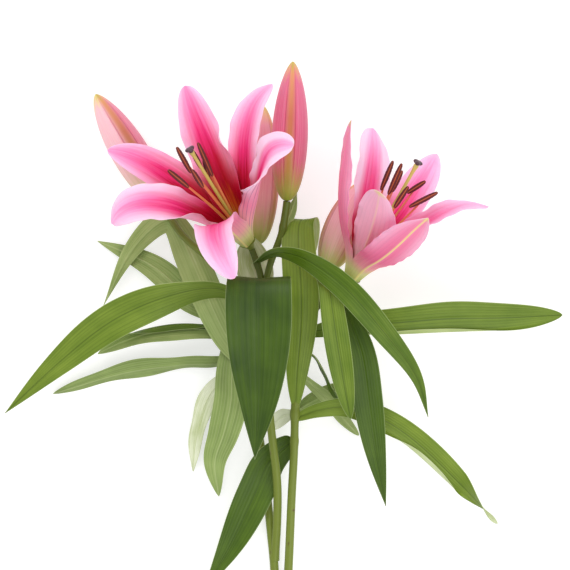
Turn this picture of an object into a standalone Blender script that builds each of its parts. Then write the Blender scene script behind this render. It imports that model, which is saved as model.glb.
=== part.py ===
"""A cut lily lying on a flat surface: one forked stem, two open blooms, four buds and its leaves.

Lengths are in millimetres and become metres in add_object. +Y runs from the cut end to the blooms, +Z is up,
and the surface that the lily lies on is z = 0.
"""

import math

import bmesh
import bpy
import numpy as np
from mathutils import Matrix, Vector

MILLIMETRE = 0.001
CENTRE_SHIFT = (1.6, 74.6, 0.0)  # brings the lily's box over the origin

# Blades
LEAF_THICKNESS = 0.8
LEAF_FOOT_HALF_WIDTH = 2.5
TEPAL_THICKNESS = 0.8
TIP_HALF_WIDTH = 0.5
SEAT_GAP = 0.35                  # air between a piece and what carries it
FLOOR_SOFTNESS = 0.8             # how gently a blade that meets the floor bends along it
INNER_TEPAL = {"length": 118.0, "half_width": 17.2, "foot_radius": 4.5, "foot_half_width": 2.6,
               "tip_power": 0.5}
OUTER_TEPAL = {"length": 122.0, "half_width": 14.2, "foot_radius": 6.0, "foot_half_width": 2.8,
               "tip_power": 0.6}
TEPAL_WIDEST = 0.6               # where along it a tepal is widest
TEPAL_FOOT_POWER = 1.1           # how slowly it widens from its foot
POINTED = 0.75                   # the tip power of a tepal with a pointed tip
TEPAL_CUP = 0.35                 # half angle of the section's arc past the throat, and at the tip
TEPAL_TIP_BOW = -0.3
RUFFLE_HEIGHT = 0.06             # waves of a tepal's margin, as a share of its half width
RUFFLE_COUNT = 3.5

# Round pieces
RECEPTACLE_RADIUS = 6.6
RECEPTACLE_LENGTH = 7.0
BUD_RIDGE = 0.05                 # how far a bud's three ridges stand out, as a share of its radius
ANTHER_RADIUS = 1.4
FILAMENT_RADIUS = 0.8
OVARY_LENGTH = 15.0
OVARY_RADIUS = 2.3
STYLE_LENGTH = 95.0
STYLE_RADIUS = 1.1
STIGMA_RADIUS = 2.8

COLOURS = {
    "stem": (0.20, 0.30, 0.06), "leaf": (0.09, 0.17, 0.035), "tepal": (0.80, 0.12, 0.28),
    "bud": (0.72, 0.20, 0.30), "heart": (0.45, 0.38, 0.10), "anther": (0.16, 0.02, 0.02),
}

# Each branch: the route of its centreline, and its radius at the lower and the upper end.
BRANCHES = {
    "main": ([(-3, -315, 3.6), (-7, -258, 4), (-8, -220, 5), (-11, -189, 5), (-15, -150, 5), (-21, -104, 5),
              (-24, -58, 6), (-24, -12, 8), (-22, 18, 11), (-21, 31, 13)], 3.6, 2.6),
    "left": ([(-8, -212, 5), (-6, -180, 12), (-6, -149, 20), (-10, -114, 25), (-14, -72, 29), (-17, -34, 33),
              (-17, -5, 36)], 3.3, 2.9),
    "right": ([(-5, -274, 4), (1, -240, 7), (3, -211, 12), (5, -164, 18), (7, -126, 21), (8, -91, 22),
               (11, -61, 26), (15, -30, 31)], 3.4, 2.9),
    "left_bloom": ([(-17, -8, 36), (-18, 5, 37), (-21, 16, 36), (-25, 27, 35.5)], 2.6, 2.4),
    "right_bloom": ([(14, -33, 31), (22, -19, 36), (35, -8, 39), (48, 0.5, 39.2)], 2.6, 2.4),
    "bud_a": ([(-17, -9, 36), (-11, 16, 41), (-3, 37, 46), (0, 52, 50), (1.5, 62.5, 52)], 2.4, 2.8),
    "bud_b": ([(-17, -12, 36), (-35, 1, 43), (-60, 22, 45), (-77, 37, 36), (-88, 52, 25),
               (-93.8, 61.7, 21.3)], 2.4, 2.8),
    "bud_d": ([(14, -36, 30), (21, -24, 25), (27, -9, 19), (30, 4, 15), (32, 12, 14)], 2.4, 2.8),
}

# Each leaf: the branch that carries it, the route of its midrib from foot to tip, the direction across the
# blade at even steps along it, its half width, where along it the blade is widest, and how far its margins
# stand up from the midrib as a share of the half width.
LEAVES = {
    "leaf_sweeping": ("left", [(-22, -23, 36), (-47, -3, 47), (-86, -9, 51), (-129, -29, 44), (-171, -62, 26),
                               (-216, -99, 6)],
                      [(0, -0.4, -0.9), (0.1, -0.6, -0.7), (0.5, -0.8, -0.2), (0.6, -0.8, 0), (0.6, -0.8, 0)],
                      14.5, 0.43, 0.2),
    "leaf_under": ("main", [(-30, -41, 9), (-53, -38, 16), (-84, -38, 19), (-115, -44, 16), (-144, -54, 8)],
                   [(0, -0.8, 0.6), (0, -0.8, 0.6)], 11, 0.5, 0.4),
    "leaf_floor": ("main", [(-30, -54, 8), (-53, -58, 12), (-79, -58, 11), (-126, -65, 6), (-179, -83, 3)],
                   [(0, 0.5, 0.9), (0, 0.9, 0.4), (0, 0.9, 0.4)], 11, 0.53, 0.15),
    "leaf_folded": ("left", [(-19, -66, 30), (-40, -45, 38), (-59, -8, 33), (-81, 40, 21),
                             (-94, 49, 17), (-119, 25, 12), (-140, -16, 6)],
                    [(0.7, 0.7, 0), (0.8, 0.5, 0.1), (0.7, 0.7, 0.2), (-0.6, 0.8, 0.3), (-0.8, 0.4, 0.3)],
                    13, 0.4, 0.1),
    "leaf_back": ("main", [(-30, -13, 10), (-48, -20, 14), (-73, -10, 14), (-93, 8, 10), (-112, 20, 5),
                           (-145, 34, 3)], [(-0.5, -0.8, 0), (-0.5, -0.8, 0)], 11, 0.45, 0.15),
    "leaf_narrow": ("main", [(-30, -75, 8), (-45, -73, 14), (-59, -87, 12), (-68, -116, 7), (-71, -144, 3)],
                    [(0, -1, 0), (0.8, -0.2, 0.5), (0.8, 0, 0.6)], 8, 0.5, 0.15),
    "leaf_hanging": ("main", [(-28, -28, 9), (-35, -36, 24), (-40, -62, 31), (-41, -88, 28),
                              (-47, -114, 20), (-54, -136, 13), (-51, -163, 5)],
                     [(-0.8, 0.5, 0), (-1, 0.2, 0), (-1, 0, 0), (-1, 0, 0)], 13, 0.5, 0.15),
    "leaf_front": ("left", [(-17, -22, 40), (-18, -4, 62), (-18, 5, 84), (-19, -3, 98), (-20, -40, 93),
                            (-21, -84, 75), (-23, -130, 54)], [(1, 0, 0), (1, 0, 0)], 24, 0.38, 0.1),
    "leaf_clasping": ("right", [(8, -91, 27), (9, -68, 36), (12, -30, 47), (12, 0, 51), (10, 30, 50),
                                (11, 47, 44), (17, 47, 36), (21, 22, 30)],
                      [(1, 0, 0), (1, 0, 0)], 12, 0.4, 0.15),
    "leaf_bract": ("bud_a", [(0, 44, 42), (5, 56, 40), (9, 69, 38)],
                   [(1, -0.3, 0), (1, -0.3, 0)], 4, 0.4, 0.1),
    "leaf_cream": ("left", [(-17, -8, 31), (-21, 6, 27), (-25, 20, 27), (-27, 38, 28)],
                   [(1, 0, 0), (1, 0.2, 0)], 14, 0.5, 0.15),
    "leaf_arching": ("left_bloom", [(-22, 17, 42), (-7, 24, 62), (15, 19, 76), (44, -2, 84),
                                    (73, -35, 76), (97, -67, 62), (107, -99, 50)],
                     [(0, 0.8, 0.6), (0.1, 0.7, 0.7), (0.6, 0.7, 0.2), (0.8, 0.5, 0), (0.9, 0.4, 0)],
                     10.5, 0.5, 0.15),
    "leaf_drooping": ("right_bloom", [(31, -11, 42), (31, 0, 55), (30, 5, 64), (33, -5, 72),
                                      (37, -33, 72), (43, -69, 64), (49, -100, 50)],
                      [(1, 0, 0), (1, 0.2, 0)], 9.5, 0.55, 0.15),
    "leaf_dark": ("right_bloom", [(43, -9, 42), (47, -23, 49), (57, -52, 50), (62, -86, 45),
                                  (68, -124, 37), (77, -169, 20)],
                  [(0.9, 0.3, 0), (0.9, 0.3, 0)], 11.5, 0.43, 0.15),
    "leaf_low_right": ("right", [(13, -101, 23), (26, -95, 27), (49, -93, 28), (76, -103, 27),
                                 (103, -122, 23), (135, -153, 14), (164, -184, 5)],
                       [(0, 1, 0), (0.2, 1, 0), (0.7, 0.7, 0.2), (0.7, 0.6, 0.5)], 9.5, 0.42, 0.15),
    "leaf_right": ("right", [(18, -37, 32), (45, -30, 37), (83, -27, 38), (122, -24, 35), (163, -24, 26),
                             (213, -23, 12)], [(0, 0.9, 0.3), (0, 1, 0.3)], 13, 0.55, 0.15),
    "leaf_edge_on": ("right", [(15, -50, 25), (22, -54, 27), (29, -65, 25), (36, -80, 20), (43, -92, 16)],
                     [(0.1, 0.1, 1), (0.1, 0.1, 1), (0.5, 0.3, 0.8)], 6, 0.5, 0.15),
    "leaf_pale": ("right", [(11, -67, 21), (24, -79, 14), (35, -90, 8), (46, -104, 7), (57, -116, 5)],
                  [(0.5, 0.5, 0.7), (0.6, 0.6, 0.4)], 6, 0.55, 0.15),
    "leaf_grey": ("right", [(10, -96, 17), (22, -89, 8), (39, -82, 3.5), (59, -78, 2.5)],
                  [(0, -1, 0), (0, -1, 0)], 7, 0.5, 0.15),
    "leaf_stub": ("right", [(5, -98, 17), (-2, -101, 13), (-13, -112, 9)], [(-0.7, 0.7, 0), (-0.7, 0.7, 0)],
                  6, 0.5, 0.1),
    "leaf_low": ("right", [(12, -119, 15), (3, -122, 11), (-13, -137, 11), (-23, -160, 13), (-43, -202, 9),
                           (-64, -238, 4)],
                 [(0.6, -0.8, 0), (0.7, -0.7, 0), (0.85, -0.5, 0), (0.85, -0.5, 0)], 14, 0.4, 0.15),
}

# Each bud: its foot, its tip and its radius. Those that lie on the surface have a small flat there.
BUDS = {
    "bud_upright": ((1.5, 62.5, 52), (5.9, 166, 60), 13.0),
    "bud_outer": ((-94, 62, 21), (-146, 147, 7.2), 14.3),
    "bud_behind": ((-21, 31, 13), (-17, 138, 13), 14.2),
    "bud_right": ((32, 12, 14), (61, 80, 13.5), 15),
}

# Each bloom: where its tepals meet, the way it opens, and its tepals by their bearing round that axis, their
# angle from it at even steps from foot to tip, how far the bearing drifts on the way, and how far the blade
# rolls about its midrib. Each anther is given by its two ends.
BLOOMS = {
    "left": {
        "base": (-28.6, 33.1, 40), "axis": (-0.42, 0.68, 0.6),
        "tepals": {
            "top": (dict(INNER_TEPAL, length=123.0, half_width=16.2), 164, [18, 31, 33, 30, 35], -3, 6),
            "back": (OUTER_TEPAL, 125, [18, 34, 35, 49, 98], -10, -8),
            "right": (INNER_TEPAL, 64, [18, 27, 30, 48, 109], -7, -18),
            "front": (OUTER_TEPAL, -21, [18, 25, 56, 106, 129], 8, 8),
            "low": (INNER_TEPAL, -102, [18, 26, 36, 67, 136], -1, 22),
            "side": (OUTER_TEPAL, -152, [18, 37, 36, 39, 56], 14, 17),
        },
        "anthers": [((-78.5, 100, 94), (-68, 81, 90)), ((-84, 82.5, 108), (-69, 70, 102)),
                    ((-64, 104.5, 78), (-53, 79.5, 76)), ((-69, 100, 72), (-61, 85, 72)),
                    ((-67, 83, 104), (-59, 70, 100)), ((-60, 94, 66), (-56, 79, 68))],
    },
    "right": {
        "base": (51.1, 6.0, 42), "axis": (0.44, 0.80, 0.41),
        "tepals": {
            "front": (dict(OUTER_TEPAL, tip_power=POINTED), 16, [18, 49, 38, 30, 38], 1, 2),
            "near": (dict(INNER_TEPAL, length=114.0, half_width=15.5), -10, [18, 28, 36, 40, 44], -3, 4),
            "side": (dict(OUTER_TEPAL, length=125.0, tip_power=POINTED), -73, [18, 40, 27, 17, 15], -5, -14),
            "back": (INNER_TEPAL, -145, [18, 31, 39, 46, 72], -4, -8),
            "top": (OUTER_TEPAL, 168, [18, 40, 47, 50, 56], 4, -4),
            "right": (dict(INNER_TEPAL, tip_power=POINTED), 110, [18, 20, 27, 40, 89], 2, 11),
        },
        "anthers": [((80, 92, 64), (71, 70, 62)), ((85.5, 89, 80), (75.5, 66, 78)),
                    ((105, 77.5, 52), (91, 68.5, 52)), ((113, 68.5, 66), (91.5, 57.5, 66)),
                    ((90, 72, 84), (79.5, 56, 84)), ((88, 86, 44), (80, 69.5, 46))],
    },
}


def clear_scene():
    for thing in list(bpy.data.objects):
        bpy.data.objects.remove(thing, do_unlink=True)


def plain_material(kind):
    material = bpy.data.materials.get(kind) or bpy.data.materials.new(kind)
    material.use_nodes = True
    shader = material.node_tree.nodes["Principled BSDF"]
    shader.inputs["Base Color"].default_value = (*COLOURS[kind], 1)
    shader.inputs["Roughness"].default_value = 0.5
    shader.inputs["Metallic"].default_value = 0
    return material


def add_object(name, mesh, kind, collection):
    """Link a mesh that is still in millimetres as an object of the given kind."""
    mesh.transform(Matrix.Scale(MILLIMETRE, 4) @ Matrix.Translation(CENTRE_SHIFT))
    mesh.materials.clear()
    mesh.materials.append(plain_material(kind))
    thing = bpy.data.objects.new(name, mesh)
    collection.objects.link(thing)
    return thing


def unit(vectors):
    vectors = np.asarray(vectors, float)
    return vectors / np.linalg.norm(vectors, axis=-1, keepdims=True)


def smooth_route(points, count):
    """Points at even distances along the Catmull-Rom curve through the given ones."""
    knots = np.array(points, float)
    knots = np.vstack([2 * knots[0] - knots[1], knots, 2 * knots[-1] - knots[-2]])
    fine = []
    for before, start, end, after in zip(knots, knots[1:], knots[2:], knots[3:]):
        for t in np.linspace(0, 1, 24, endpoint=False):
            fine.append(0.5 * (2 * start + (end - before) * t
                               + (2 * before - 5 * start + 4 * end - after) * t ** 2
                               + (3 * start - before - 3 * end + after) * t ** 3))
    fine = np.array(fine + [knots[-2]])
    travelled = np.concatenate([[0], np.cumsum(np.linalg.norm(np.diff(fine, axis=0), axis=1))])
    wanted = np.linspace(0, travelled[-1], count)
    return np.column_stack([np.interp(wanted, travelled, fine[:, axis]) for axis in range(3)])


def spindle(u, widest, power):
    """A blade's or bud's outline: 0 at both ends and 1 where it is widest."""
    return (u / widest) ** power * ((1 - u) / (1 - widest)) ** (power * (1 - widest) / widest)


def above_floor(z, lowest):
    """Bend a height smoothly so that it never comes below the lowest one allowed."""
    over = z - lowest
    return lowest + 0.5 * (over + math.sqrt(over * over + 4 * FLOOR_SOFTNESS ** 2)) if over < 12 else z


def blade_object(name, kind, columns, rows, thickness, place, collection):
    """A grid with a point at place(v, row), v from -1 to 1 across it, made a closed blade by Solidify."""
    grid = bmesh.new()
    bmesh.ops.create_grid(grid, x_segments=columns, y_segments=rows, size=1)
    for vertex in grid.verts:
        row = round((vertex.co.y + 1) / 2 * rows)
        vertex.co = place(vertex.co.x, row)
        vertex.co.z = above_floor(vertex.co.z, thickness / 2)
    bmesh.ops.triangulate(grid, faces=grid.faces)
    mesh = bpy.data.meshes.new(name)
    grid.to_mesh(mesh)
    grid.free()
    blade = add_object(name, mesh, kind, collection)
    skin = blade.modifiers.new("thickness", "SOLIDIFY")
    skin.thickness = thickness * MILLIMETRE
    skin.offset = 0
    return blade


def seated_route(route, branch, across):
    """The leaf's route with its foot moved to just off the surface of the branch that carries it."""
    line, lower_radius, upper_radius = BRANCHES[branch]
    centres = smooth_route(line, 200)
    foot = np.array(route[0], float)
    nearest = int(np.argmin(np.linalg.norm(centres - foot, axis=1)))
    radius = lower_radius + (upper_radius - lower_radius) * nearest / (len(centres) - 1)
    outward = unit(foot - centres[nearest])
    along = unit(np.array(route[1], float) - foot)
    sideways = unit(np.array(across[0], float) - along * np.dot(across[0], along))
    reach = (LEAF_FOOT_HALF_WIDTH * abs(np.dot(sideways, outward))
             + LEAF_THICKNESS / 2 * abs(np.dot(np.cross(along, sideways), outward)))
    foot = centres[nearest] + outward * (radius + SEAT_GAP + reach)
    return [tuple(foot)] + list(route[1:])


def make_leaf(name, collection):
    branch, route, across, half_width, widest, lift = LEAVES[name]
    rows = 12 if len(route) > 4 else 7
    spine = smooth_route(seated_route(route, branch, across), rows + 1)
    along = unit(np.gradient(spine, axis=0))
    steps = np.linspace(0, len(across) - 1, rows + 1)
    hints = np.column_stack([np.interp(steps, range(len(across)), column) for column in np.transpose(across)])
    sideways = unit(hints - along * np.sum(hints * along, axis=1, keepdims=True))
    upward = np.cross(along, sideways)

    def place(v, row):
        u = row / rows
        width = (half_width * spindle(u, widest, 0.8) + LEAF_FOOT_HALF_WIDTH * (1 - u) ** 6
                 + TIP_HALF_WIDTH * u ** 6)
        height = width * lift * (math.sqrt(v * v + 0.04) - 0.2)
        return Vector(spine[row] + sideways[row] * width * v + upward[row] * height)

    return blade_object(name, "leaf", 4, rows, LEAF_THICKNESS, place, collection)


def bloom_frame(bloom):
    """The bloom's base, its axis, and the two directions that bearings are measured between."""
    axis = unit(BLOOMS[bloom]["axis"])
    upward = unit(np.array([0, 0, 1]) - axis * axis[2])
    return np.array(BLOOMS[bloom]["base"], float), axis, upward, np.cross(axis, upward)


def make_tepal(bloom, side, collection, rows=12):
    form, bearing, angles, drift, roll = BLOOMS[bloom]["tepals"][side]
    base, axis, upward, leftward = bloom_frame(bloom)
    u = np.linspace(0, 1, rows + 1)
    angle = np.radians(np.interp(u, np.linspace(0, 1, len(angles)), angles))
    step = form["length"] / rows
    forward = np.concatenate([[0], np.cumsum((np.cos(angle[1:]) + np.cos(angle[:-1])) / 2 * step)])
    outward = np.concatenate([[0], np.cumsum((np.sin(angle[1:]) + np.sin(angle[:-1])) / 2 * step)])
    outward += form["foot_radius"]
    turn = np.radians(bearing + drift * u ** 2)
    radial = np.outer(np.cos(turn), upward) + np.outer(np.sin(turn), leftward)
    spine = base + np.outer(forward, axis) + radial * outward[:, None]
    along = unit(np.gradient(spine, axis=0))
    inward = -radial * np.cos(angle)[:, None] + np.outer(np.sin(angle), axis)
    inward = unit(inward - along * np.sum(inward * along, axis=1, keepdims=True))
    sideways = np.cross(along, inward)
    rolled = np.radians(roll * np.clip((u - 0.15) / 0.6, 0, 1))[:, None]
    sideways, inward = (sideways * np.cos(rolled) + inward * np.sin(rolled),
                        inward * np.cos(rolled) - sideways * np.sin(rolled))

    def place(v, row):
        part = u[row]
        power = (TEPAL_FOOT_POWER if part < TEPAL_WIDEST
                 else form["tip_power"] * TEPAL_WIDEST / (1 - TEPAL_WIDEST))
        width = (form["half_width"] * spindle(part, TEPAL_WIDEST, power)
                 + form["foot_half_width"] * (1 - part) ** 4 + TIP_HALF_WIDTH * part ** 6)
        throat = width / outward[row]
        arc = np.interp(part, [0.35, 0.7, 1], [throat, TEPAL_CUP, TEPAL_TIP_BOW])
        arc = arc if abs(arc) > 0.01 else 0.01
        ruffle = (form["half_width"] * RUFFLE_HEIGHT * abs(v) ** 3
                  * math.sin(math.tau * RUFFLE_COUNT * part + 2 * v))
        across = width * math.sin(arc * v) / arc
        height = width * (1 - math.cos(arc * v)) / arc + ruffle * min(1, 4 * part * (1 - part))
        return Vector(spine[row] + sideways[row] * across + inward[row] * height)

    return blade_object(f"tepal_{bloom}_{side}", "tepal", 5, rows, TEPAL_THICKNESS, place, collection)


def round_object(name, kind, foot, tip, radius_at, segments, rings, collection):
    """A UV sphere drawn out from foot to tip, with radius_at(u, angle) from its axis."""
    foot, tip = Vector(foot), Vector(tip)
    turn = (tip - foot).to_track_quat("Z", "X")
    ball = bmesh.new()
    bmesh.ops.create_uvsphere(ball, u_segments=segments, v_segments=rings, radius=1)
    for vertex in ball.verts:
        u = (vertex.co.z + 1) / 2
        angle = math.atan2(vertex.co.y, vertex.co.x)
        radius = 0 if min(u, 1 - u) < 1e-6 else radius_at(u, angle)
        local = Vector((radius * math.cos(angle), radius * math.sin(angle), u * (tip - foot).length))
        vertex.co = foot + turn @ local
    if min(vertex.co.z for vertex in ball.verts) < 0:
        bmesh.ops.bisect_plane(ball, geom=ball.verts[:] + ball.edges[:] + ball.faces[:], plane_co=(0, 0, 0),
                               plane_no=(0, 0, -1), clear_outer=True)
        bmesh.ops.holes_fill(ball, edges=[edge for edge in ball.edges if edge.is_boundary])
    mesh = bpy.data.meshes.new(name)
    ball.to_mesh(mesh)
    ball.free()
    mesh.shade_smooth()
    return add_object(name, mesh, kind, collection)


def make_bud(name, collection):
    foot, tip, radius = BUDS[name]
    clear = Vector(foot) + (Vector(tip) - Vector(foot)).normalized() * SEAT_GAP

    def radius_at(u, angle):
        return radius * spindle(u, 0.45, 0.45) * (1 + BUD_RIDGE * math.cos(3 * angle))

    return round_object(name, "bud", clear, tip, radius_at, 12, 14, collection)


def make_anther(name, ends, collection):
    def radius_at(u, angle):
        return ANTHER_RADIUS * spindle(u, 0.5, 0.35)

    return round_object(name, "anther", ends[0], ends[1], radius_at, 6, 6, collection)


def tube_mesh(name, route, radii, steps, resolution):
    """A curve's bevelled tube along a smooth route, as a mesh with its caps welded on."""
    curve = bpy.data.curves.new(name, "CURVE")
    curve.dimensions = "3D"
    curve.bevel_depth = 1
    curve.bevel_resolution = resolution
    curve.use_fill_caps = True
    spline = curve.splines.new("POLY")
    points = smooth_route(route, steps + 1)
    spline.points.add(steps)
    for number, point in enumerate(points):
        spline.points[number].co = (*point, 1)
        spline.points[number].radius = radii[0] + (radii[1] - radii[0]) * number / steps
    guide = bpy.data.objects.new(name, curve)
    bpy.context.scene.collection.objects.link(guide)
    bpy.context.view_layer.update()
    mesh = bpy.data.meshes.new_from_object(guide.evaluated_get(bpy.context.evaluated_depsgraph_get()))
    bpy.data.objects.remove(guide, do_unlink=True)
    bpy.data.curves.remove(curve)
    weld = bmesh.new()
    weld.from_mesh(mesh)
    bmesh.ops.remove_doubles(weld, verts=weld.verts, dist=0.01)
    bmesh.ops.recalc_face_normals(weld, faces=weld.faces)
    weld.to_mesh(mesh)
    weld.free()
    return mesh


def cone_mesh(name, tip, direction, length, narrow, wide):
    """A receptacle: a cone that widens to the given tip."""
    turn = Vector(direction).to_track_quat("Z", "X").to_matrix().to_4x4()
    middle = Vector(tip) - Vector(direction).normalized() * length / 2
    cone = bmesh.new()
    bmesh.ops.create_cone(cone, cap_ends=True, segments=12, radius1=narrow, radius2=wide, depth=length,
                          matrix=Matrix.Translation(middle) @ turn)
    mesh = bpy.data.meshes.new(name)
    cone.to_mesh(mesh)
    cone.free()
    return mesh


def ball_mesh(name, centre, radius):
    ball = bmesh.new()
    bmesh.ops.create_uvsphere(ball, u_segments=8, v_segments=6, radius=radius,
                              matrix=Matrix.Translation(centre))
    mesh = bpy.data.meshes.new(name)
    ball.to_mesh(mesh)
    ball.free()
    return mesh


def joined_object(name, kind, meshes, collection):
    """One body from meshes that run into each other, by a Boolean union on a collection."""
    rest = bpy.data.collections.new(name + "_rest")
    bpy.context.scene.collection.children.link(rest)
    body = add_object(name, meshes[0], kind, collection)
    for number, mesh in enumerate(meshes[1:]):
        add_object(f"{name}_{number}", mesh, kind, rest)
    union = body.modifiers.new("union", "BOOLEAN")
    union.operation = "UNION"
    union.solver = "EXACT"
    union.operand_type = "COLLECTION"
    union.collection = rest
    bpy.context.view_layer.update()
    joined = bpy.data.meshes.new_from_object(body.evaluated_get(bpy.context.evaluated_depsgraph_get()))
    body.modifiers.clear()
    body.data = joined
    for thing in list(rest.objects):
        bpy.data.objects.remove(thing, do_unlink=True)
    bpy.data.collections.remove(rest)
    return body


def make_stem(collection):
    meshes = []
    for name, (route, lower_radius, upper_radius) in BRANCHES.items():
        length = sum(math.dist(start, end) for start, end in zip(route, route[1:]))
        steps = max(6, round(length / 22))
        meshes.append(tube_mesh(name, route, (lower_radius, upper_radius), steps, 2))
    for bloom in BLOOMS:
        base, axis, _, _ = bloom_frame(bloom)
        top = base - axis * (SEAT_GAP + 0.15)
        meshes.append(cone_mesh(bloom, top, axis, RECEPTACLE_LENGTH, 2.2, RECEPTACLE_RADIUS))
    return joined_object("stem", "stem", meshes, collection)


def make_heart(bloom, collection):
    """The ovary, style and stigma of a bloom, with its six filaments rooted in the ovary."""
    base, axis, _, _ = bloom_frame(bloom)
    stigma = base + axis * STYLE_LENGTH
    bow = base + axis * STYLE_LENGTH / 2 + np.array([0, 0, 1.5])
    meshes = [tube_mesh("ovary", [base, base + axis * OVARY_LENGTH], (OVARY_RADIUS, STYLE_RADIUS), 2, 1),
              tube_mesh("style", [base + axis * 8, bow, stigma], (STYLE_RADIUS, STYLE_RADIUS), 6, 1),
              ball_mesh("stigma", stigma, STIGMA_RADIUS)]
    for ends in BLOOMS[bloom]["anthers"]:
        lower, upper = np.array(ends[1], float), np.array(ends[0], float)
        along = unit(upper - lower)
        above = unit(np.array([0, 0, 1]) - along * along[2])
        root = base + axis * 4
        seat = (lower + upper) / 2 - above * (ANTHER_RADIUS + SEAT_GAP + FILAMENT_RADIUS)
        bend = (root + seat) / 2 + axis * 4
        radii = (FILAMENT_RADIUS * 1.2, FILAMENT_RADIUS * 0.7)
        meshes.append(tube_mesh("filament", [root, bend, seat], radii, 5, 1))
    return joined_object(f"heart_{bloom}", "heart", meshes, collection)


def main():
    clear_scene()
    lily = bpy.data.collections.new("cut_lily")
    bpy.context.scene.collection.children.link(lily)
    make_stem(lily)
    for name in LEAVES:
        make_leaf(name, lily)
    for name in BUDS:
        make_bud(name, lily)
    for bloom, parts in BLOOMS.items():
        for side in parts["tepals"]:
            make_tepal(bloom, side, lily)
        make_heart(bloom, lily)
        for number, ends in enumerate(parts["anthers"], 1):
            make_anther(f"anther_{bloom}_{number}", ends, lily)


main()
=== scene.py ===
import math
from functools import partial

import bpy
import numpy as np
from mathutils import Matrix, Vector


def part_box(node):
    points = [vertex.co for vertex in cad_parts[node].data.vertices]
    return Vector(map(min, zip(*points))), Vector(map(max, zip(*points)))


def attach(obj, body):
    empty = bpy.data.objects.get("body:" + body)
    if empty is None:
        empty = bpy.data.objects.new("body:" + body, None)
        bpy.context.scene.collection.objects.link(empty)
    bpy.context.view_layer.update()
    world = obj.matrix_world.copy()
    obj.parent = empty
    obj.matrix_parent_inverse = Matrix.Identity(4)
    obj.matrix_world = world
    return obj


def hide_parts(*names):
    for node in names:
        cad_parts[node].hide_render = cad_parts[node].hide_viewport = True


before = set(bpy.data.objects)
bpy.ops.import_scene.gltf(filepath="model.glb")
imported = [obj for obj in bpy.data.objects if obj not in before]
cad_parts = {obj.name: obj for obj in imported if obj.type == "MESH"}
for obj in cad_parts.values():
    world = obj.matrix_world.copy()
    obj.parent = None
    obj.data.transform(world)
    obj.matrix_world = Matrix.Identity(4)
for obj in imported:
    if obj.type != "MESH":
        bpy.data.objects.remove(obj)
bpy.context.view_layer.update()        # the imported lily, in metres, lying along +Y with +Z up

scene = bpy.context.scene
scene.view_settings.view_transform = "Standard"
print("frame loaded:", len(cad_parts), "nodes")

# where the plant's own measures, in millimetres, lie in the frame
millimetre = 0.001
antherEnds = ((-78.5, 100, 94), (-68, 81, 90))  # the first anther of the left bloom ties the two together
frameShift = np.array(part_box("anther_left_1")).mean(axis=0) / millimetre - np.mean(antherEnds, axis=0)
curveSteps = 32          # steps of a route's curve between two given points
easings = 40             # how often its corners are eased
sharpEdge = math.radians(70)
skyward = np.array([0, 0, 1])
floorGap = 0.3           # air under a blade that meets the surface
floorSoftness = 1.5      # how gently it bends along it
floorReach = 12          # how high above the surface it starts to bend


def unit(vectors):
    return vectors / np.linalg.norm(vectors, axis=-1, keepdims=True)


def squareTo(along, vectors):
    # the vectors' parts at right angles to a direction, as units
    return unit(vectors - along * np.sum(vectors * along, axis=-1, keepdims=True))


def between(wanted, places, points):
    return np.column_stack([np.interp(wanted, places, column) for column in np.transpose(points)])


def turnSteps(sides):
    return np.linspace(0, math.tau, sides, endpoint=False)


def smoothRoute(points, count):
    # points at even distances along the Catmull-Rom curve through the given ones, its corners eased
    knots = np.array(points, float)
    knots = np.vstack([2 * knots[0] - knots[1], knots, 2 * knots[-1] - knots[-2]])
    t = np.linspace(0, 1, curveSteps, endpoint=False)[:, None]
    before, start, end, after = (knots[shift:len(knots) - 3 + shift, None] for shift in range(4))
    fine = 0.5 * (2 * start + (end - before) * t + (2 * before - 5 * start + 4 * end - after) * t ** 2
                  + (3 * start - before - 3 * end + after) * t ** 3)
    fine = np.vstack([fine.reshape(-1, 3), knots[-2]])
    for _ in range(easings):
        fine[1:-1] = (fine[:-2] + 2 * fine[1:-1] + fine[2:]) / 4
    travelled = np.concatenate([[0], np.cumsum(np.linalg.norm(np.diff(fine, axis=0), axis=1))])
    wanted = np.linspace(0, travelled[-1], count)
    return between(wanted, travelled, fine)


def spindle(u, widest, power):
    # 0 at both ends and 1 where it is widest: (u/m)^p times ((1-u)/(1-m))^(p(1-m)/m)
    return (u / widest) ** power * ((1 - u) / (1 - widest)) ** (power * (1 - widest) / widest)


def finishMesh(name, points, faces, values, material, nodes, slot):
    # points in the plant's millimetres become a piece in the frame's metres, with its values as attributes
    mesh = bpy.data.meshes.new(name)
    mesh.from_pydata((points + frameShift) * millimetre, [], faces)
    for key, value in values.items():
        mesh.attributes.new(key, "FLOAT", "POINT").data.foreach_set("value", np.asarray(value, np.float32).ravel())
    mesh.validate()
    mesh.shade_smooth()
    mesh.set_sharp_from_angle(angle=sharpEdge)
    mesh.materials.append(material)
    piece = bpy.data.objects.new(name, mesh)
    scene.collection.objects.link(piece)
    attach(piece, "root")
    if nodes:
        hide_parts(*nodes)
    return piece


def gridFaces(rows, columns, first=0, turned=False):
    # quads between the neighbours of a rows by columns grid of vertices
    corner = first + np.arange(rows - 1)[:, None] * columns + np.arange(columns - 1)
    quads = np.stack([corner, corner + 1, corner + columns + 1, corner + columns], axis=-1).reshape(-1, 4)
    return quads[:, ::-1] if turned else quads


def blade(spine, sideways, upward, v, width, tilt, extra):
    # from the midrib outwards the section runs at the angle tilt to the flat, so its points are the midrib plus
    # the running sums of width * cos(tilt) sideways and of width * sin(tilt) upwards, plus an extra rise
    span = np.diff(v)
    middle = len(v) // 2
    runs = []
    for part in (np.cos(tilt), np.sin(tilt)):
        steps = (part[:, 1:] + part[:, :-1]) / 2 * span * width[:, None]
        total = np.concatenate([np.zeros((len(width), 1)), np.cumsum(steps, axis=1)], axis=1)
        runs.append(total - total[:, [middle]])
    return (spine[:, None] + sideways[:, None] * runs[0][..., None]
            + upward[:, None] * (runs[1] + extra)[..., None])


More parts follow.
